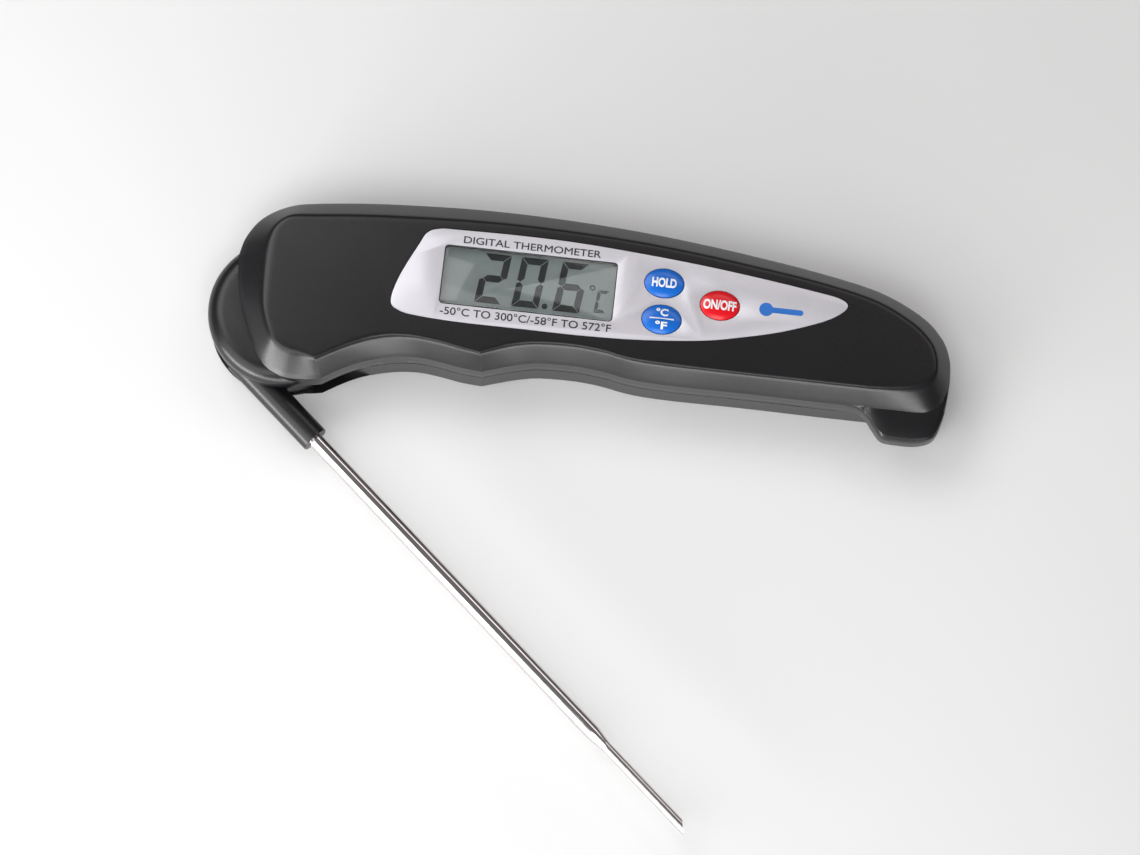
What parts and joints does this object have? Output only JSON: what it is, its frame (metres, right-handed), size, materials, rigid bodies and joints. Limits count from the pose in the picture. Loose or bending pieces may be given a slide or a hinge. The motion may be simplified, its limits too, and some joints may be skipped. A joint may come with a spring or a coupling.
{
  "type": "folding probe thermometer",
  "caption": "Digital thermometer with a long black handle, a silver face with a display and oval keys, and a steel probe on a sleeve that folds under the handle.",
  "frame": {"origin": "on the probe's pivot axis, at the flat back face of the case", "axes": "+X from the pivot to the toe of the handle, +Y to the arched edge, +Z out of the front face"},
  "size_m": [0.1602, 0.1291, 0.0207],
  "materials": {
    "shell_black": "satin moulded ABS with a soft sheen",
    "arm_black": "satin glass-filled nylon",
    "label_silver": "silver-white printed polyester film",
    "window_clear": "clear hard-coated acrylic",
    "lcd_grey": "grey-green reflective liquid crystal display",
    "frame_white": "moulded holder",
    "rubber_dark": "silicone rubber",
    "seal_red": "silicone seal",
    "board_green": "solder mask on glass epoxy",
    "chip_black": "epoxy",
    "component_tan": "small passive components",
    "switch_steel": "stamped steel",
    "button_blue": "glossy moulded key",
    "button_red": "glossy moulded key",
    "cell_steel": "stainless can",
    "contact_spring": "plated spring contact",
    "screw_steel": "stainless",
    "magnet_nickel": "nickel plated magnet",
    "bush_nylon": "acetal",
    "probe_steel": "polished stainless tube",
    "wire_red": "insulated wire",
    "sensor_black": "glass-coated sensor bead"
  },
  "bodies": {
    "handle": {"front_shell": "shell_black", "rear_shell": "shell_black", "case_gasket": "seal_red", "case_screws": "screw_steel", "label_panel": "label_silver", "display_window": "window_clear", "display_frame": "frame_white", "lcd_panel": "lcd_grey", "zebra_strips": "rubber_dark", "circuit_board": "board_green", "controller_chip": "chip_black", "board_components": "component_tan", "tact_switches": "switch_steel", "button_seal": "rubber_dark", "coin_cell": "cell_steel", "negative_contact": "contact_spring", "positive_contact": "contact_spring", "back_magnets": "magnet_nickel", "pivot_bush": "bush_nylon", "friction_washer": "screw_steel", "pivot_seal": "rubber_dark", "board_leads": "wire_red"},
    "probe": {"probe_arm": "arm_black", "pivot_clip": "screw_steel", "probe_tube": "probe_steel", "probe_point": "probe_steel", "thermistor": "sensor_black", "sensor_wires": "wire_red"},
    "hold_key": {"hold_button": "button_blue"},
    "unit_key": {"unit_button": "button_blue"},
    "power_key": {"power_button": "button_red"},
    "cover": {"battery_cover": "shell_black", "cover_seal": "seal_red"}
  },
  "joints": [
    {"name": "probe_pivot", "type": "hinge", "parent": "handle", "child": "probe", "pos_m": [0, 0, 0.0066], "axis": [0, 0, 1], "range_deg": [-137.6, 42.2]},
    {"name": "hold_press", "type": "slide", "parent": "handle", "child": "hold_key", "axis": [0, 0, -1], "range_m": [0, 0.0005], "stiffness_N_per_m": 2000},
    {"name": "unit_press", "type": "slide", "parent": "handle", "child": "unit_key", "axis": [0, 0, -1], "range_m": [0, 0.0005], "stiffness_N_per_m": 2000},
    {"name": "power_press", "type": "slide", "parent": "handle", "child": "power_key", "axis": [0, 0, -1], "range_m": [0, 0.0005], "stiffness_N_per_m": 2000},
    {"name": "cover_turn", "type": "hinge", "parent": "handle", "child": "cover", "pos_m": [0.089, 0.008, 0.001], "axis": [0, 0, 1], "range_deg": [0, 45]}
  ]
}
